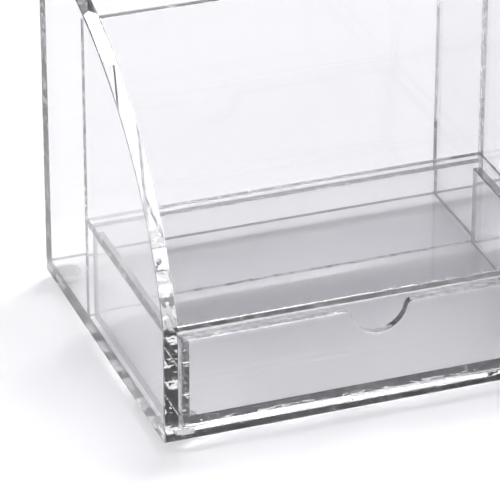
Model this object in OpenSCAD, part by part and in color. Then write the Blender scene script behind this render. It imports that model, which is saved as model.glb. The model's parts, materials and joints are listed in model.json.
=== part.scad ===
// Clear sheet-plastic desk organizer: two curved sides, a letter slot across the back,
// a cover shelf with a sliding drawer under it, and a stepped bay for pens beside them.
// Origin: middle of the footprint, on the surface it stands on. Front faces -Y, up is +Z.
// Every height below is counted from the underside of the base, which the feet hold up.

/* [Overall] */
// Width over the two sides
overall_w = 230; // [215:1:260]
// Depth from the front edges to the back
overall_d = 123.5; // [118:0.5:130]
// Height of the sides and the back
overall_h = 124.5; // [121:0.5:135]
// Height of the straight front edges, where the curve begins
front_h = 41.5; // [38:0.5:44]

/* [Sheets] */
// Thickness of the two sides
side_t = 5; // [4:0.5:6]
// Thickness of the base
base_t = 4.3; // [3:0.1:5]
// Thickness of the divider beside the drawer
divider_t = 4; // [3:0.5:6]
// Thickness of the other fixed sheets
sheet_t = 3; // [2.5:0.5:4]

/* [Side outline] */
// Radius of the flatter rear part of the curve
rear_r = 143; // [138:1:148]
// Angle in degrees that the rear part turns through
rear_turn = 34; // [32:1:36]

/* [Letter slot] */
// Distance from the front to the slot wall's front face
slot_y = 79; // [70:1:85]
// Height of the slot wall's top edge
slot_h = 112.5; // [100:0.5:114]

/* [Drawer] */
// Clear width between the left side and the divider
bay_w = 136; // [120:1:140]
// Thickness of the drawer's sheets
drawer_t = 3; // [2.5:0.5:3.5]
// Gap on each side of the drawer
drawer_gap = 1.2; // [0.8:0.1:2]
// Gap under the drawer
drawer_lift = 0.2; // [0.2:0.1:0.6]
// Height of the top edges of the drawer's front and sides
drawer_top = 36; // [30:0.5:36]
// Height of the top edge of the drawer's back
drawer_back_top = 38; // [30:0.5:38]
// Gap behind the drawer
drawer_rear_gap = 1; // [1:0.5:10]
// Radius of the thumb notch
notch_r = 9.5; // [8:0.5:12]
// Radius that rounds the notch's shoulders
shoulder_r = 2.5; // [1.5:0.5:4]

/* [Pen bay] */
// Distance from the front to the pen wall's front face
pen_wall_y = 38; // [32:1:45]
// Height of the pen wall
pen_wall_h = 88; // [75:1:90]

/* [Feet] */
// Height of the four clear bumpers under the base
foot_h = 3; // [2:0.5:4]
// Diameter of a bumper where it sticks to the base
foot_d = 10; // [8:0.5:12]
// Diameter of a bumper where it stands on the surface
foot_tip_d = 7; // [5:0.5:9]
// Distance from the edges of the base to a bumper's middle
foot_inset = 8.5; // [6:0.5:15]

/* [Hidden] */
$fn = 96;
// How far the notch's arcs overlap, so that they meet at a clean corner
ARC_OVERLAP = 0.02;
CLEAR = [0.90, 0.91, 0.94, 0.35];
CLEAR_DRAWER = [0.82, 0.86, 0.92, 0.45];
SOFT_CLEAR = [0.95, 0.95, 0.93, 0.6];

// Places along X, Y and Z, counted from the front left corner of the footprint
bay_x = side_t;
divider_x = bay_x + bay_w;
pen_bay_x = divider_x + divider_t;
right_x = overall_w - side_t;
pen_bay_w = right_x - pen_bay_x;
back_y = overall_d - sheet_t;
drawer_x = bay_x + drawer_gap;
drawer_w = bay_w - 2 * drawer_gap;
drawer_d = slot_y - drawer_rear_gap;
drawer_z = base_t + drawer_lift;
drawer_floor = drawer_z + drawer_t;
wall_h = drawer_top - drawer_floor;

// The curve is two arcs that meet smoothly. The rear arc is level at the back, and the
// front arc's radius is the one that brings it to the top of the straight front edge.
join_dir = [-sin(rear_turn), cos(rear_turn)];
rear_centre = [overall_d, overall_h - rear_r];
to_front = [0, front_h] - rear_centre;
lean = to_front * join_dir;
front_r = (to_front * to_front + rear_r * rear_r - 2 * rear_r * lean) / (2 * (rear_r - lean));
front_centre = rear_centre + (rear_r - front_r) * join_dir;

// A flat sheet with its lowest corner at a place counted from the front left corner
module sheet(place, size) {
    translate([place[0] - overall_w / 2, place[1] - overall_d / 2, place[2] + foot_h])
        cube(size);
}

// Outline of an upright curved sheet, with depth along X and height along Y
module side_outline(depth) {
    intersection() {
        translate([0, base_t])
            square([depth, overall_h - base_t]);
        translate(rear_centre)
            circle(rear_r);
        union() {
            translate(front_centre)
                circle(front_r);
            polygon([
                front_centre,
                rear_centre + 1.2 * rear_r * join_dir,
                [overall_d + 1, overall_h + rear_r],
                [overall_d + 1, -1],
                [front_centre[0], -1]
            ]);
        }
    }
}

// An upright curved sheet whose left face is at x
module curved_sheet(x, thick, depth) {
    translate([x - overall_w / 2, -overall_d / 2, foot_h])
        rotate([90, 0, 90])
            linear_extrude(thick)
                side_outline(depth);
}

// Thumb notch, centred on X at the origin, cut downwards from the top edge at Y = 0
module notch_outline() {
    apart = notch_r + shoulder_r - ARC_OVERLAP;
    reach = sqrt(apart * apart - shoulder_r * shoulder_r);
    circle(notch_r);
    difference() {
        polygon([[-reach, -shoulder_r], [0, 0], [reach, -shoulder_r], [reach, 1], [-reach, 1]]);
        for (side = [-1, 1])
            translate([side * reach, -shoulder_r])
                circle(shoulder_r);
    }
}

// A bumper under a corner of the base: side is -1 for left or 1 for right, and end is
// -1 for front or 1 for rear
module foot(side, end) {
    color(SOFT_CLEAR)
        translate([side * (overall_w / 2 - foot_inset), end * (overall_d / 2 - foot_inset), 0])
            cylinder(h = foot_h, d1 = foot_tip_d, d2 = foot_d);
}

module base() {
    color(CLEAR)
        sheet([0, 0, 0], [overall_w, overall_d, base_t]);
}

module left_side() {
    color(CLEAR)
        curved_sheet(0, side_t, overall_d);
}

module right_side() {
    color(CLEAR)
        curved_sheet(right_x, side_t, overall_d);
}

module divider() {
    color(CLEAR)
        curved_sheet(divider_x, divider_t, back_y);
}

module back_panel() {
    color(CLEAR)
        sheet([bay_x, back_y, base_t], [right_x - bay_x, sheet_t, overall_h - base_t]);
}

module slot_wall_left() {
    color(CLEAR)
        sheet([bay_x, slot_y, base_t], [bay_w, sheet_t, slot_h - base_t]);
}

module slot_wall_right() {
    color(CLEAR)
        sheet([pen_bay_x, slot_y, base_t], [pen_bay_w, sheet_t, slot_h - base_t]);
}

module cover_shelf() {
    color(CLEAR)
        sheet([bay_x, 0, front_h - sheet_t], [bay_w, slot_y, sheet_t]);
}

module pen_bay_front() {
    color(CLEAR)
        sheet([pen_bay_x, 0, base_t], [pen_bay_w, sheet_t, front_h - base_t]);
}

module pen_wall() {
    color(CLEAR)
        sheet([pen_bay_x, pen_wall_y, base_t], [pen_bay_w, sheet_t, pen_wall_h - base_t]);
}

module pen_divider() {
    wall_back = pen_wall_y + sheet_t;
    color(CLEAR)
        sheet(
            [pen_bay_x + (pen_bay_w - sheet_t) / 2, wall_back, base_t],
            [sheet_t, slot_y - wall_back, pen_wall_h - base_t]
        );
}

module drawer_bottom() {
    color(CLEAR_DRAWER)
        sheet([drawer_x, 0, drawer_z], [drawer_w, drawer_d, drawer_t]);
}

module drawer_front() {
    color(CLEAR_DRAWER)
        translate([drawer_x + drawer_w / 2 - overall_w / 2, drawer_t - overall_d / 2, foot_h])
            rotate([90, 0, 0])
                linear_extrude(drawer_t)
                    difference() {
                        translate([-drawer_w / 2, drawer_floor])
                            square([drawer_w, wall_h]);
                        translate([0, drawer_top])
                            notch_outline();
                    }
}

// One of the drawer's two side walls, between its front and its back
module drawer_wall(x) {
    color(CLEAR_DRAWER)
        sheet([x, drawer_t, drawer_floor], [drawer_t, drawer_d - 2 * drawer_t, wall_h]);
}

module drawer_left_side() {
    drawer_wall(drawer_x);
}

module drawer_right_side() {
    drawer_wall(drawer_x + drawer_w - drawer_t);
}

module drawer_back() {
    color(CLEAR_DRAWER)
        sheet(
            [drawer_x, drawer_d - drawer_t, drawer_floor],
            [drawer_w, drawer_t, drawer_back_top - drawer_floor]
        );
}

base();
left_side();
right_side();
divider();
back_panel();
slot_wall_left();
slot_wall_right();
cover_shelf();
pen_bay_front();
pen_wall();
pen_divider();
drawer_bottom();
drawer_front();
drawer_left_side();
drawer_right_side();
drawer_back();
foot(-1, -1);  // foot_front_left
foot(1, -1);  // foot_front_right
foot(-1, 1);  // foot_rear_left
foot(1, 1);  // foot_rear_right
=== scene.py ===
"""Clear sheet-plastic desk organizer on a pale floor in soft studio light.

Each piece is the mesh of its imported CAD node, with rounded edges, marked seams and clear materials.
"""

import json
import math

import bmesh
import bpy
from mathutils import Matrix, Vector


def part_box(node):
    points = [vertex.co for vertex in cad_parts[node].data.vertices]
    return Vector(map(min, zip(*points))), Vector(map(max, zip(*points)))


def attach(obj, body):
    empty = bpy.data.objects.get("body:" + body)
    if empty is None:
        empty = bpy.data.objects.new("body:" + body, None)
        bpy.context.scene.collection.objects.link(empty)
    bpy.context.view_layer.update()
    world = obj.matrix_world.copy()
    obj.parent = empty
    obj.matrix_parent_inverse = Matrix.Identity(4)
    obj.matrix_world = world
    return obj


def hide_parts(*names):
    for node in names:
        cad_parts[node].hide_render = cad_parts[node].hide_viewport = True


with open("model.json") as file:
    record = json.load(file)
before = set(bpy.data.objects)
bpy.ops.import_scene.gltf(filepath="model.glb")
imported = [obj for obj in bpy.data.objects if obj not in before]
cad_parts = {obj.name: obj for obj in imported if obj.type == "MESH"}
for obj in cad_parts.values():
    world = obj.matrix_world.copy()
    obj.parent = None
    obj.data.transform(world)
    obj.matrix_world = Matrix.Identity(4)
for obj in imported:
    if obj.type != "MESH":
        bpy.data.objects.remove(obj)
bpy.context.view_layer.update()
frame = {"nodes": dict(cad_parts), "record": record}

MM = 0.001

# Shapes
TOUCH = 0.02 * MM  # faces nearer than this count as touching
WELD_GAP = 0.02 * MM  # how far a covered face is drawn back
MERGE = TOUCH / 4
CUT = TOUCH / 2
PAD_SIZE = 12 * MM  # a seam on the base smaller than this is a bumper's
PAD_INSET = 1.6 * MM
THIN_WALL = 4.5 * MM
EDGE_ROUND = 0.35 * MM
FOOT_ROUND = 1.0 * MM
ROUND_STEPS = 3
COPLANAR = math.radians(0.3)
FLAT = math.radians(0.2)
CREASE = math.radians(8)
SHARP = math.radians(40)
ALIGNED = 0.99  # a normal with this much along an axis points along it
MOSTLY = 0.9  # a side with this share of its area on neighbours is covered

# Material slots of every piece
FACE, EDGE, WELD, FOOT_WELD = 0, 1, 2, 3
IOR = 1.49

# Light from behind the object, by height in degrees above the horizon
BAND_STARTS = (27.5, 29.5)
BAND_ENDS = (37, 42)
SCREEN_FADES = (52, 66)
SCREEN_FADED = 0.35
BEHIND = (0.1, 0.5)  # share of a direction that points to the rear
SKY_COLOUR = (0.967, 0.962, 1.0, 1)

# Camera and floor
SENSOR_MM = 36
LENS_MM = 284.3
CAMERA_FROM_CORNER = (-344.1, -1014.8, 646.8)  # millimetres, from the base's front left bottom corner
CAMERA_TILT = math.radians(61.69)
CAMERA_TURN = math.radians(-20.18)
CAMERA_REACH = 50
FLOOR_HALF = 9.0
FLOOR_DROP = 0.02 * MM


# ---------------------------------------------------------------- node helpers
def add(tree, kind, **settings):
    node = tree.nodes.new(kind)
    for key, value in settings.items():
        setattr(node, key, value)
    return node


def put(node, **values):
    for key, value in values.items():
        node.inputs[key.replace("_", " ")].default_value = value
    return node


def join(tree, a, out, b, into):
    tree.links.new(a.outputs[out], b.inputs[into])


def new_material(name):
    material = bpy.data.materials.new(name)
    material.use_nodes = True
    material.node_tree.nodes.clear()
    return material, material.node_tree


def show(tree, shader, out="BSDF"):
    output = add(tree, "ShaderNodeOutputMaterial")
    join(tree, shader, out, output, "Surface")


def clear_shader(tree, **values):
    shader = add(tree, "ShaderNodeBsdfPrincipled")
    return put(shader, IOR=IOR, Transmission_Weight=1.0, **values)


def noise(tree, scale, turn=(0, 0, 0), detail=2.0):
    """Noise fixed to the object; scale is one number, or one per axis for streaks."""
    coords = add(tree, "ShaderNodeTexCoord")
    mapping = add(tree, "ShaderNodeMapping")
    put(mapping, Scale=scale if isinstance(scale, tuple) else (scale,) * 3, Rotation=turn)
    join(tree, coords, "Object", mapping, "Vector")
    texture = add(tree, "ShaderNodeTexNoise")
    put(texture, Scale=1.0, Detail=detail, Roughness=0.5)
    join(tree, mapping, "Vector", texture, "Vector")
    return texture


def ramp(tree, source, out, low, high, to_low=0.0, to_high=1.0):
    """Maps low..high of a value to to_low..to_high, clamped."""
    node = add(tree, "ShaderNodeMapRange", clamp=True)
    put(node, From_Min=low, From_Max=high, To_Min=to_low, To_Max=to_high)
    join(tree, source, out, node, "Value")
    return node


def combine(tree, operation, a, a_out, b, b_out):
    node = add(tree, "ShaderNodeMath", operation=operation)
    tree.links.new(a.outputs[a_out], node.inputs[0])
    tree.links.new(b.outputs[b_out], node.inputs[1])
    return node


def bump(tree, height, out, distance, under=None):
    node = add(tree, "ShaderNodeBump")
    put(node, Strength=1.0, Distance=distance)
    join(tree, height, out, node, "Height")
    if under:
        join(tree, under, "Normal", node, "Normal")
    return node


def vary_colour(tree, texture, colour_a, colour_b, shader, into="Base Color"):
    """Lets a texture choose between two colours that are close together."""
    tint = add(tree, "ShaderNodeMix", data_type="RGBA")
    tint.inputs["A"].default_value = (*colour_a, 1)
    tint.inputs["B"].default_value = (*colour_b, 1)
    join(tree, texture, "Fac", tint, "Factor")
    tree.links.new(tint.outputs["Result"], shader.inputs[into])


def scratches(tree, turn, threshold):
    """Sparse hairlines along one direction, 0 to 1."""
    lines = noise(tree, (3000, 45, 3000), turn, detail=1.0)
    return ramp(tree, lines, "Fac", threshold, threshold + 0.04)


def hairlines(tree):
    a = scratches(tree, (0.3, 0.5, 0.2), 0.735)
    b = scratches(tree, (1.2, -0.4, 1.1), 0.745)
    return combine(tree, "MAXIMUM", a, "Result", b, "Result")


# ------------------------------------------------------------------- materials
def clear_face(name, tint_a, tint_b, wear):
    """Polished cast acrylic: faint waviness, hairline scratches, a few hazy patches."""
    material, tree = new_material(name)
    shader = clear_shader(tree, Specular_Tint=(0.985, 0.985, 0.99, 1))
    vary_colour(tree, noise(tree, 18, detail=3.0), tint_a, tint_b, shader)
    lines = hairlines(tree)
    haze = ramp(tree, noise(tree, 40, detail=4.0), "Fac", 0.55, 0.8, 0.0, 0.02 * wear)
    marks = ramp(tree, lines, "Value", 0.0, 1.0, 0.0, 0.12 * wear)
    join(tree, combine(tree, "ADD", haze, "Result", marks, "Result"), "Value", shader, "Roughness")
    wavy = bump(tree, noise(tree, 55, detail=1.0), "Fac", 0.004 * MM)
    fine = bump(tree, lines, "Value", 0.002 * MM * wear, under=wavy)
    join(tree, fine, "Normal", shader, "Normal")
    show(tree, shader)
    return material


def clear_edge(name, tint_a, tint_b):
    """Cut and flame-polished edge: slow ripples along the cut, faint saw lines, a little roughness."""
    material, tree = new_material(name)
    shader = clear_shader(tree)
    vary_colour(tree, noise(tree, 150, detail=3.0), tint_a, tint_b, shader)
    patches = ramp(tree, noise(tree, 260, detail=4.0), "Fac", 0.45, 0.75, 0.0, 0.05)
    join(tree, patches, "Result", shader, "Roughness")
    ripple = bump(tree, noise(tree, 160, detail=1.5), "Fac", 0.005 * MM)
    saw = bump(tree, noise(tree, 1400), "Fac", 0.002 * MM, under=ripple)
    join(tree, saw, "Normal", shader, "Normal")
    show(tree, shader)
    return material


def soft_bumper(name):
    """Clear soft bumper: slightly cloudy, with a moulded skin."""
    material, tree = new_material(name)
    shader = clear_shader(tree)
    cloud = noise(tree, 350, detail=3.0)
    vary_colour(tree, cloud, (0.93, 0.93, 0.92), (0.98, 0.98, 0.97), shader)
    join(tree, ramp(tree, cloud, "Fac", 0.3, 0.7, 0.05, 0.18), "Result", shader, "Roughness")
    join(tree, bump(tree, noise(tree, 900), "Fac", 0.01 * MM), "Normal", shader, "Normal")
    show(tree, shader)
    return material


def weld_seam(name, film_a, film_b):
    """Solvent-welded seam: light passes through a film, except in thin trapped bubbles."""
    material, tree = new_material(name)
    film = add(tree, "ShaderNodeBsdfTransparent")
    vary_colour(tree, noise(tree, 300), (film_a,) * 3, (film_b,) * 3, film, "Color")
    bubble = clear_shader(tree)
    grain = noise(tree, 700, detail=3.0)
    join(tree, ramp(tree, grain, "Fac", 0.3, 0.8, 0.0, 0.1), "Result", bubble, "Roughness")
    join(tree, bump(tree, grain, "Fac", 0.01 * MM), "Normal", bubble, "Normal")
    mix = add(tree, "ShaderNodeMixShader")
    join(tree, ramp(tree, noise(tree, 420), "Fac", 0.56, 0.6), "Result", mix, "Fac")
    tree.links.new(film.outputs["BSDF"], mix.inputs[1])
    tree.links.new(bubble.outputs["BSDF"], mix.inputs[2])
    show(tree, mix, "Shader")
    return material


def pale_floor(name):
    """Matt pale surface with very faint clouding."""
    material, tree = new_material(name)
    shader = put(add(tree, "ShaderNodeBsdfPrincipled"), Specular_IOR_Level=0.0)
    cloud = noise(tree, 3, detail=3.0)
    vary_colour(tree, cloud, (0.93, 0.93, 0.94), (0.95, 0.95, 0.95), shader)
    join(tree, ramp(tree, cloud, "Fac", 0.3, 0.7, 0.8, 0.9), "Result", shader, "Roughness")
    join(tree, bump(tree, noise(tree, 400), "Fac", 0.01 * MM), "Normal", shader, "Normal")
    show(tree, shader)
    return material


def make_looks():
    """The materials of each record slot, in the order FACE, EDGE, WELD, FOOT_WELD."""
    seam = weld_seam("welded_seam", 0.8, 0.93)
    foot_seam = weld_seam("welded_foot", 0.45, 0.65)
    bumper = soft_bumper("clear_bumper")
    sheet = clear_face("clear_sheet", (0.928, 0.926, 0.932), (0.942, 0.94, 0.946), wear=1.0)
    sheet_edge = clear_edge("clear_sheet_edge", (0.94, 0.94, 0.95), (0.97, 0.97, 0.965))
    drawer = clear_face("clear_drawer", (0.94, 0.94, 0.942), (0.955, 0.955, 0.957), wear=1.6)
    drawer_edge = clear_edge("clear_drawer_edge", (0.92, 0.93, 0.95), (0.96, 0.96, 0.965))
    return {
        "clear_sheet": [sheet, sheet_edge, seam, foot_seam],
        "clear_drawer": [drawer, drawer_edge, seam, seam],
        "clear_bumper": [bumper, bumper, seam, foot_seam],
    }


# ----------------------------------------------------------------------- seams
def contact(a, b):
    """(axis, side of a, low, high) where box a's face lies on box b's, or None."""
    (alo, ahi), (blo, bhi) = a, b
    low = [max(alo[i], blo[i]) for i in range(3)]
    high = [min(ahi[i], bhi[i]) for i in range(3)]
    thin = [i for i in range(3) if abs(high[i] - low[i]) < TOUCH]
    if len(thin) != 1 or any(high[i] - low[i] < -TOUCH for i in range(3)):
        return None
    axis = thin[0]
    side = 1 if abs(ahi[axis] - low[axis]) < TOUCH else -1
    return axis, side, low, high


def contacts(node, mates):
    found = [contact(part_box(node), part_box(mate)) for mate in mates if mate != node]
    return [c for c in found if c]


def is_dry(a, b):
    """The slot walls only stand on the base; every other joint is welded."""
    return "base" in (a, b) and ("slot_wall" in a or "slot_wall" in b)


def is_pad(axis, low, high):
    return axis == 2 and max(high[0] - low[0], high[1] - low[1]) < PAD_SIZE


def is_thin_foot(axis, low, high):
    """The feet of the thinner walls, where the cement has left a cloudy film."""
    return axis == 2 and min(high[0] - low[0], high[1] - low[1]) < THIN_WALL


def shrink_pads(seams):
    """Round bumpers stick over a square that fits inside their round top."""
    fitted = []
    for axis, side, low, high in seams:
        inset = PAD_INSET if is_pad(axis, low, high) else 0
        low = [low[0] + inset, low[1] + inset, low[2]]
        high = [high[0] - inset, high[1] - inset, high[2]]
        fitted.append((axis, side, low, high))
    return fitted


def area(low, high, axis):
    u, v = [i for i in range(3) if i != axis]
    return (high[u] - low[u]) * (high[v] - low[v])


def covered_sides(node, touching):
    """The (axis, side) faces of a node's box that lie wholly on its neighbours."""
    lo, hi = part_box(node)
    sides = {}
    for axis, side, low, high in touching:
        sides[axis, side] = sides.get((axis, side), 0) + area(low, high, axis)
    return [key for key, total in sides.items() if total > MOSTLY * area(lo, hi, key[0])]


# ---------------------------------------------------------------------- pieces
def clean_copy(node):
    bm = bmesh.new()
    bm.from_mesh(frame["nodes"][node].data)
    bmesh.ops.remove_doubles(bm, verts=bm.verts, dist=MERGE)
    bmesh.ops.dissolve_limit(bm, angle_limit=COPLANAR, verts=bm.verts, edges=bm.edges)
    return bm


def cut_outline(bm, axis, low, high):
    """Cuts the mesh along the borders of one seam."""
    for across in [i for i in range(3) if i != axis]:
        for at in (low[across], high[across]):
            spot, normal = Vector((0, 0, 0)), Vector((0, 0, 0))
            spot[across], normal[across] = at, 1
            geometry = bm.verts[:] + bm.edges[:] + bm.faces[:]
            bmesh.ops.bisect_plane(bm, geom=geometry, dist=CUT, plane_co=spot, plane_no=normal)


def in_seam(face, axis, low, high):
    centre = face.calc_center_median()
    if abs(face.normal[axis]) < ALIGNED:
        return False
    return all(low[i] - TOUCH <= centre[i] <= high[i] + TOUCH for i in range(3))


def paint(bm, node, seams):
    """Gives each face its slot: the two broad faces, the thin edges, and the seams."""
    lo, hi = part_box(node)
    size = [hi[i] - lo[i] for i in range(3)]
    thin = size.index(min(size))
    for face in bm.faces:
        face.material_index = FACE if abs(face.normal[thin]) > ALIGNED else EDGE
        for axis, _side, low, high in seams:
            if in_seam(face, axis, low, high):
                face.material_index = FOOT_WELD if is_thin_foot(axis, low, high) else WELD


def is_curved(face):
    return any(FLAT < edge.calc_face_angle(0) < CREASE for edge in face.edges)


def free_edges(bm):
    """Marks each edge smooth or sharp, and picks the sharp ones that no seam touches."""
    free = []
    for edge in bm.edges:
        turn = edge.calc_face_angle(0)
        on_seam = any(face.material_index >= WELD for face in edge.link_faces)
        edge.smooth = turn < CREASE
        if turn > SHARP and not on_seam:
            edge.smooth = True
            free.append(edge)
    return free


def round_edges(bm, radius):
    """Rounds the free edges; flat faces stay flat-shaded, so that they refract truly."""
    for face in bm.faces:
        face.smooth = is_curved(face)
    rounded = bmesh.ops.bevel(
        bm,
        geom=free_edges(bm),
        offset=radius,
        segments=ROUND_STEPS,
        profile=0.5,
        affect="EDGES",
        clamp_overlap=True,
        material=EDGE,
    )
    for face in rounded["faces"]:
        face.smooth = True


def pull_back(bm, node, sides):
    """Draws the covered faces back by a hair, so that no two meshes share a surface."""
    lo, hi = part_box(node)
    for axis, side in sides:
        at = hi[axis] if side > 0 else lo[axis]
        for vert in bm.verts:
            if abs(vert.co[axis] - at) < TOUCH:
                vert.co[axis] -= side * WELD_GAP


def shape_piece(node, mates, radius):
    """The node's own mesh, with its seams marked and its free edges rounded."""
    seams = shrink_pads(contacts(node, [mate for mate in mates if not is_dry(node, mate)]))
    bm = clean_copy(node)
    for axis, _side, low, high in seams:
        cut_outline(bm, axis, low, high)
    paint(bm, node, seams)
    round_edges(bm, radius)
    pull_back(bm, node, covered_sides(node, contacts(node, mates)))
    mesh = bpy.data.meshes.new(node + "_look")
    bm.to_mesh(mesh)
    bm.free()
    return mesh


def clear_piece(node, body, mates, materials, radius):
    """One polished piece that stands for a CAD node."""
    mesh = shape_piece(node, mates, radius)
    for material in materials:
        mesh.materials.append(material)
    sheet = bpy.data.objects.new(node + "_look", mesh)
    bpy.context.scene.collection.objects.link(sheet)
    normals = sheet.modifiers.new("even_normals", "WEIGHTED_NORMAL")
    normals.mode = "FACE_AREA"
    normals.keep_sharp = True
    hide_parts(node)
    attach(sheet, body)


def build_organizer():
    bodies = frame["record"]["behaviour"]["bodies"]
    looks = make_looks()
    for node in bodies["organizer"]:
        is_foot = node.startswith("foot")
        slot = "clear_bumper" if is_foot else "clear_sheet"
        radius = FOOT_ROUND if is_foot else EDGE_ROUND
        clear_piece(node, "organizer", bodies["organizer"], looks[slot], radius)
    for node in bodies["drawer"]:
        clear_piece(node, "drawer", bodies["drawer"], looks["clear_drawer"], EDGE_ROUND)


# ----------------------------------------------------------------------- stage
def make_floor():
    mesh = bpy.data.meshes.new("floor")
    corners = [(-1, -1), (1, -1), (1, 1), (-1, 1)]
    points = [(x * FLOOR_HALF, y * FLOOR_HALF, -FLOOR_DROP) for x, y in corners]
    mesh.from_pydata(points, [], [(0, 1, 2, 3)])
    mesh.materials.append(pale_floor("pale_floor"))
    floor = bpy.data.objects.new("floor", mesh)
    bpy.context.scene.collection.objects.link(floor)


def soft_light(name, place, target, size, power):
    """A square lamp, in metres and watts, that the camera doesn't see."""
    data = bpy.data.lights.new(name, "AREA")
    data.shape = "RECTANGLE"
    data.size = data.size_y = size
    data.energy = power
    lamp = bpy.data.objects.new(name, data)
    lamp.location = place
    lamp.rotation_euler = (Vector(target) - Vector(place)).to_track_quat("-Z", "Y").to_euler()
    lamp.visible_camera = False
    bpy.context.scene.collection.objects.link(lamp)


def height_ramp(tree, way, degrees, to_low=0.0, to_high=1.0):
    """Goes from to_low to to_high between two heights above the horizon."""
    low, high = [math.sin(math.radians(angle)) for angle in degrees]
    return ramp(tree, way, "Z", low, high, to_low, to_high)


def light_level(tree, way, all_round, dark, glow):
    """Light by direction: even all round, but behind the object a dark band and a bright screen above it."""
    behind = ramp(tree, way, "Y", *BEHIND)
    band_height = combine(
        tree,
        "MULTIPLY",
        height_ramp(tree, way, BAND_STARTS),
        "Result",
        height_ramp(tree, way, BAND_ENDS, 1.0, 0.0),
        "Result",
    )
    screen_height = combine(
        tree,
        "MULTIPLY",
        height_ramp(tree, way, BAND_ENDS),
        "Result",
        height_ramp(tree, way, SCREEN_FADES, 1.0, SCREEN_FADED),
        "Result",
    )
    band = combine(tree, "MULTIPLY", band_height, "Value", behind, "Result")
    screen = combine(tree, "MULTIPLY", screen_height, "Value", behind, "Result")
    base = ramp(tree, band, "Value", 0.0, 1.0, all_round, dark)
    extra = ramp(tree, screen, "Value", 0.0, 1.0, 0.0, glow)
    return combine(tree, "ADD", base, "Result", extra, "Result")


def studio_world(all_round, dark, glow):
    world = bpy.data.worlds.new("studio")
    world.use_nodes = True
    tree = world.node_tree
    tree.nodes.clear()
    way = add(tree, "ShaderNodeSeparateXYZ")
    join(tree, add(tree, "ShaderNodeTexCoord"), "Generated", way, "Vector")
    background = put(add(tree, "ShaderNodeBackground"), Color=SKY_COLOUR)
    join(tree, light_level(tree, way, all_round, dark, glow), "Value", background, "Strength")
    output = add(tree, "ShaderNodeOutputWorld")
    join(tree, background, "Background", output, "Surface")
    bpy.context.scene.world = world


def make_light():
    studio_world(all_round=0.67, dark=0.012, glow=0.9)
    soft_light("overhead", place=(0.36, 0.42, 1.6), target=(0, 0, 0), size=0.4, power=11)
    soft_light("left_fill", place=(-0.7, -0.1, 0.5), target=(-0.15, 0, 0), size=0.5, power=1.15)


def make_camera():
    data = bpy.data.cameras.new("camera")
    data.sensor_width = SENSOR_MM
    data.lens = LENS_MM
    data.clip_end = CAMERA_REACH
    camera = bpy.data.objects.new("camera", data)
    front_left = Vector(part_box("base")[0])
    camera.location = front_left + Vector(CAMERA_FROM_CORNER) * MM
    camera.rotation_euler = (CAMERA_TILT, 0, CAMERA_TURN)
    bpy.context.scene.collection.objects.link(camera)
    bpy.context.scene.camera = camera


def set_look():
    """Plain colours, and enough bounces for light to get through every sheet."""
    scene = bpy.context.scene
    scene.view_settings.view_transform = "Standard"
    scene.cycles.max_bounces = 40
    scene.cycles.transmission_bounces = 40
    scene.cycles.glossy_bounces = 40
    scene.cycles.diffuse_bounces = 4
    scene.cycles.transparent_max_bounces = 60
    scene.cycles.blur_glossy = 0.0
    scene.cycles.sample_clamp_indirect = 0.0


make_camera()
make_floor()
make_light()
build_organizer()
set_look()
